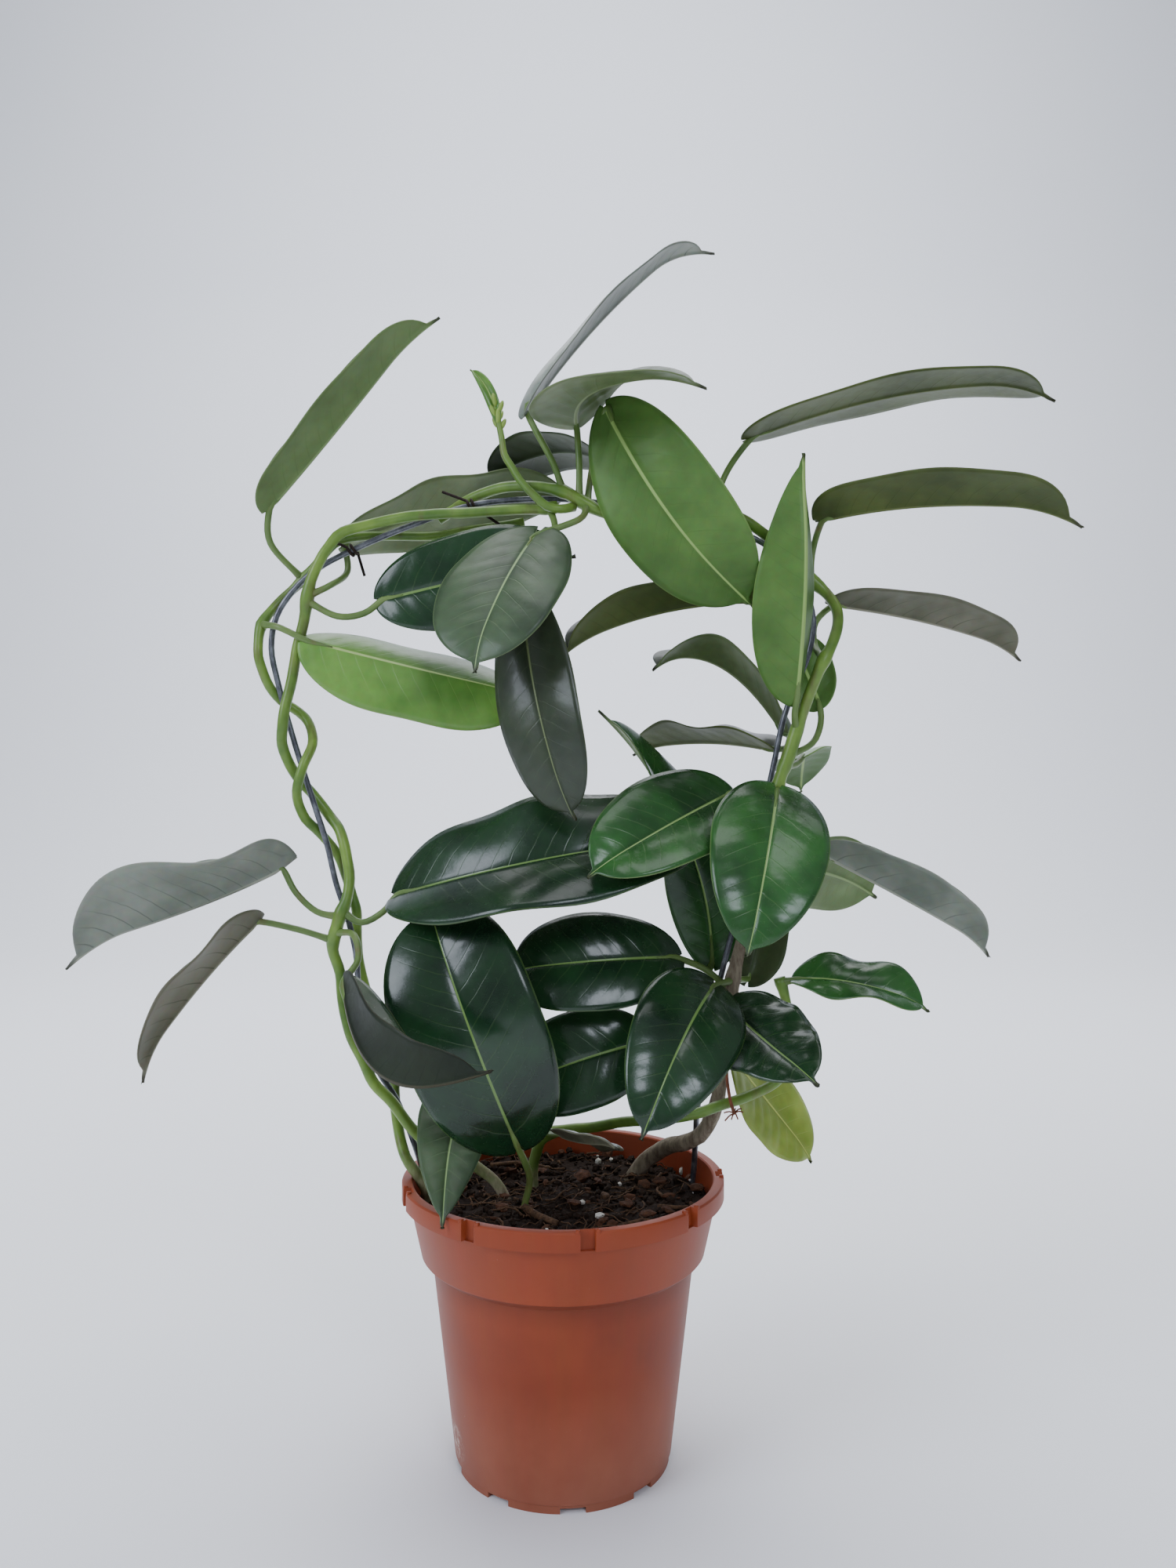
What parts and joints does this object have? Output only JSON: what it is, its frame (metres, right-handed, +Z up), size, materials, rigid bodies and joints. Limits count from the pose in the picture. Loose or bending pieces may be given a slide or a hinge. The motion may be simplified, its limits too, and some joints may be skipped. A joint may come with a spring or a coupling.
{
  "type": "potted stephanotis",
  "caption": "Climbing stephanotis in leaf, its green stems twined up a wire hoop, standing in a terracotta-coloured plastic nursery pot filled with soil",
  "frame": {"origin": "The middle of the pot's round foot, in the plane that the foot rests on", "axes": "+Z is up, along the pot's axis; -Y is the front, towards the viewer of the picture; +X is the viewer's right"},
  "size_m": [0.359, 0.1408, 0.4577],
  "materials": {
    "terracotta_plastic": "matte",
    "soil": "matte",
    "wire_coating": "satin",
    "stem_green": "satin",
    "dry_stalk": "matte",
    "tie_cord": "matte",
    "leaf_green": "gloss"
  },
  "bodies": {
    "root": {"pot": "terracotta_plastic", "soil": "soil", "hoop_wire": "wire_coating", "stem_left_outer": "stem_green", "stem_left_inner": "stem_green", "stem_right": "stem_green", "stem_low": "stem_green", "shoot_tip": "stem_green", "dried_stalk": "dry_stalk", "tie_left": "tie_cord", "tie_top": "tie_cord", "leaf_crown_far_left": "leaf_green", "leaf_crown_left_back": "leaf_green", "leaf_crown_top": "leaf_green", "leaf_crown_middle": "leaf_green", "leaf_crown_bright": "leaf_green", "leaf_crown_dark_back": "leaf_green", "leaf_crown_right_upper": "leaf_green", "leaf_crown_right_lower": "leaf_green", "leaf_right_drooping": "leaf_green", "leaf_left_inner_dark": "leaf_green", "leaf_left_long_pale": "leaf_green", "leaf_front_grey": "leaf_green", "leaf_centre_hanging": "leaf_green", "leaf_right_upright": "leaf_green", "leaf_right_small_back": "leaf_green", "leaf_inner_olive": "leaf_green", "leaf_inner_upper": "leaf_green", "leaf_inner_middle": "leaf_green", "leaf_back_hanging": "leaf_green", "leaf_right_glossy": "leaf_green", "leaf_right_front": "leaf_green", "leaf_right_striped": "leaf_green", "leaf_right_trailing": "leaf_green", "leaf_inner_upright": "leaf_green", "leaf_behind_trunk": "leaf_green", "leaf_right_wavy": "leaf_green", "leaf_right_dark": "leaf_green", "leaf_front_large": "leaf_green", "leaf_right_yellow_green": "leaf_green", "leaf_far_left_twisted": "leaf_green", "leaf_lower_left_narrow": "leaf_green", "leaf_front_horizontal": "leaf_green", "leaf_front_upright": "leaf_green", "leaf_front_brown": "leaf_green", "leaf_over_rim": "leaf_green", "leaf_centre_dark": "leaf_green", "leaf_centre_low": "leaf_green", "leaf_low_pale": "leaf_green"}
  },
  "joints": []
}
